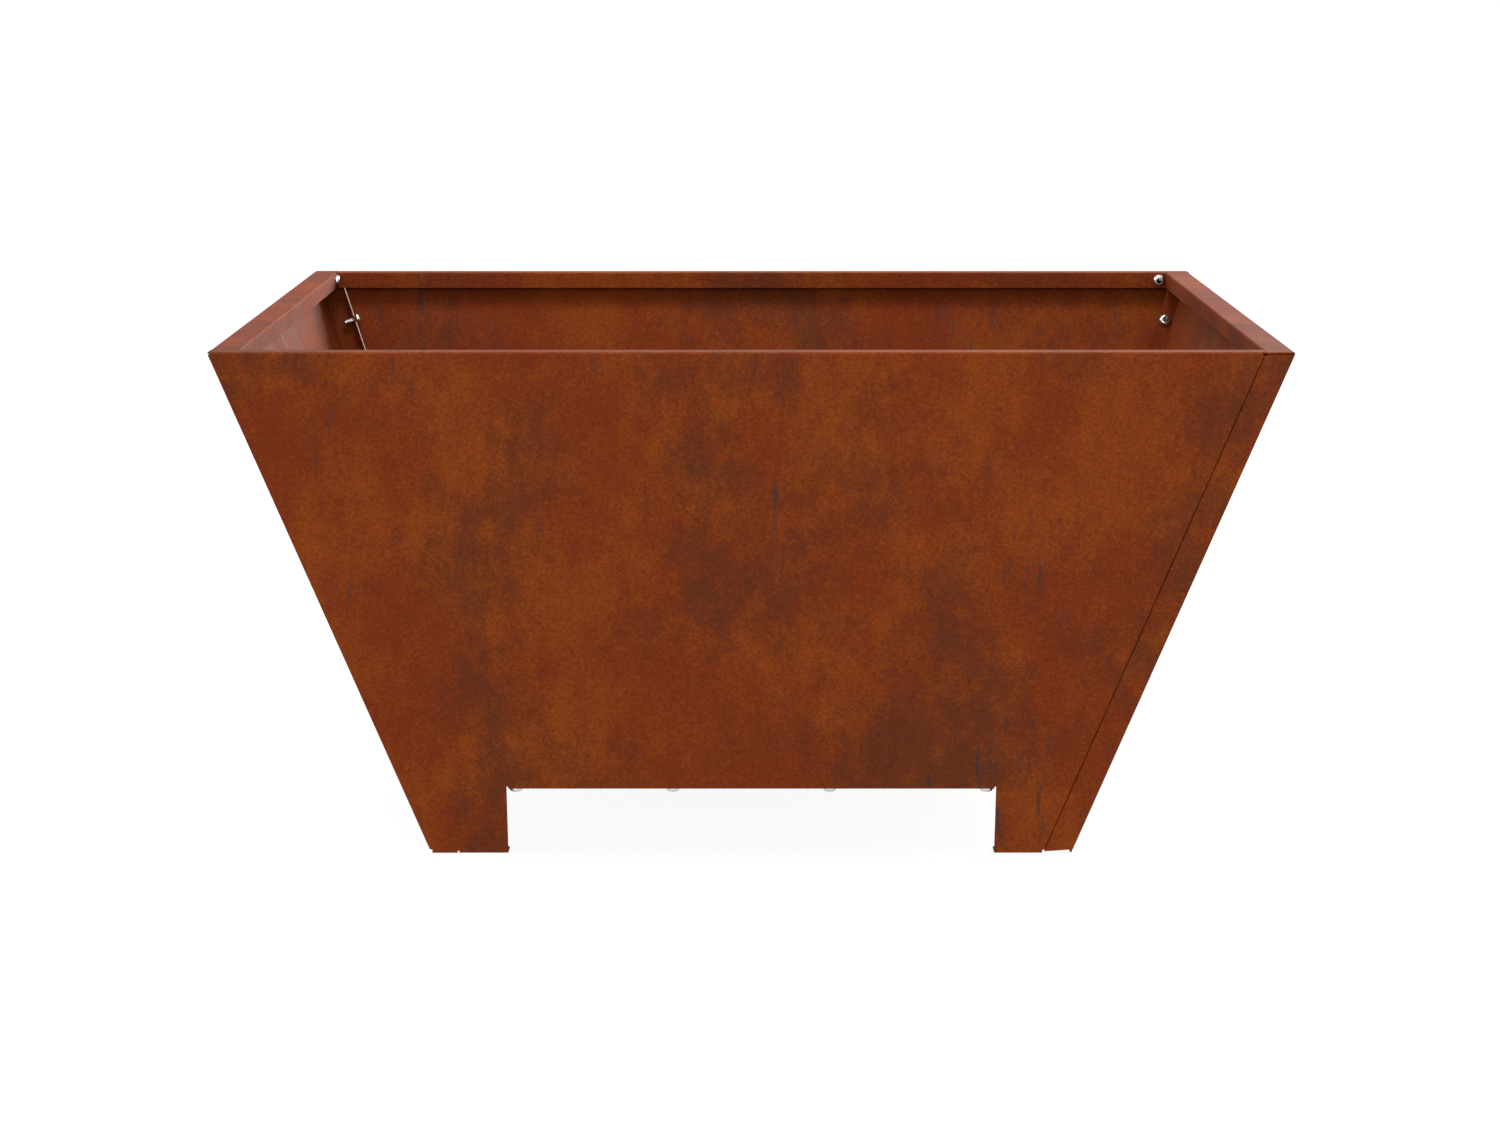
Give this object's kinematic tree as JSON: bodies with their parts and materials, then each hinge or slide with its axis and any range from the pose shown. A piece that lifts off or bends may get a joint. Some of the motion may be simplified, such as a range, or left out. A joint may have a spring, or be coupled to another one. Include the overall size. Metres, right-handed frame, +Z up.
{
  "type": "planter box",
  "caption": "Square tapered planter of folded weathering steel on cut-out legs, open at the top, bolted together from identical corner-wrapping panels and a floor plate.",
  "frame": {"origin": "on the ground, under the middle of the box", "axes": "+Z up, -Y the front with its seam at the right, +X to the right seen from the front"},
  "size_m": [0.8, 0.8, 0.407],
  "materials": {
    "weathering_steel": "evenly rusted weathering steel, orange-brown with darker blotches and faint streaks",
    "stainless_steel": "bright stainless fasteners"
  },
  "bodies": {
    "root": {"front_panel": "weathering_steel", "right_panel": "weathering_steel", "back_panel": "weathering_steel", "left_panel": "weathering_steel", "floor_plate": "weathering_steel", "front_rim_screw": "stainless_steel", "front_seam_screw_top": "stainless_steel", "front_seam_screw_middle": "stainless_steel", "front_seam_screw_bottom": "stainless_steel", "front_floor_screw_1": "stainless_steel", "front_floor_screw_2": "stainless_steel", "front_floor_screw_3": "stainless_steel", "front_floor_screw_4": "stainless_steel", "front_floor_nut_1": "stainless_steel", "front_floor_nut_2": "stainless_steel", "front_floor_nut_3": "stainless_steel", "front_floor_nut_4": "stainless_steel", "right_rim_screw": "stainless_steel", "right_seam_screw_top": "stainless_steel", "right_seam_screw_middle": "stainless_steel", "right_seam_screw_bottom": "stainless_steel", "right_floor_screw_1": "stainless_steel", "right_floor_screw_2": "stainless_steel", "right_floor_screw_3": "stainless_steel", "right_floor_screw_4": "stainless_steel", "right_floor_nut_1": "stainless_steel", "right_floor_nut_2": "stainless_steel", "right_floor_nut_3": "stainless_steel", "right_floor_nut_4": "stainless_steel", "back_rim_screw": "stainless_steel", "back_seam_screw_top": "stainless_steel", "back_seam_screw_middle": "stainless_steel", "back_seam_screw_bottom": "stainless_steel", "back_floor_screw_1": "stainless_steel", "back_floor_screw_2": "stainless_steel", "back_floor_screw_3": "stainless_steel", "back_floor_screw_4": "stainless_steel", "back_floor_nut_1": "stainless_steel", "back_floor_nut_2": "stainless_steel", "back_floor_nut_3": "stainless_steel", "back_floor_nut_4": "stainless_steel", "left_rim_screw": "stainless_steel", "left_seam_screw_top": "stainless_steel", "left_seam_screw_middle": "stainless_steel", "left_seam_screw_bottom": "stainless_steel", "left_floor_screw_1": "stainless_steel", "left_floor_screw_2": "stainless_steel", "left_floor_screw_3": "stainless_steel", "left_floor_screw_4": "stainless_steel", "left_floor_nut_1": "stainless_steel", "left_floor_nut_2": "stainless_steel", "left_floor_nut_3": "stainless_steel", "left_floor_nut_4": "stainless_steel"}
  },
  "joints": []
}
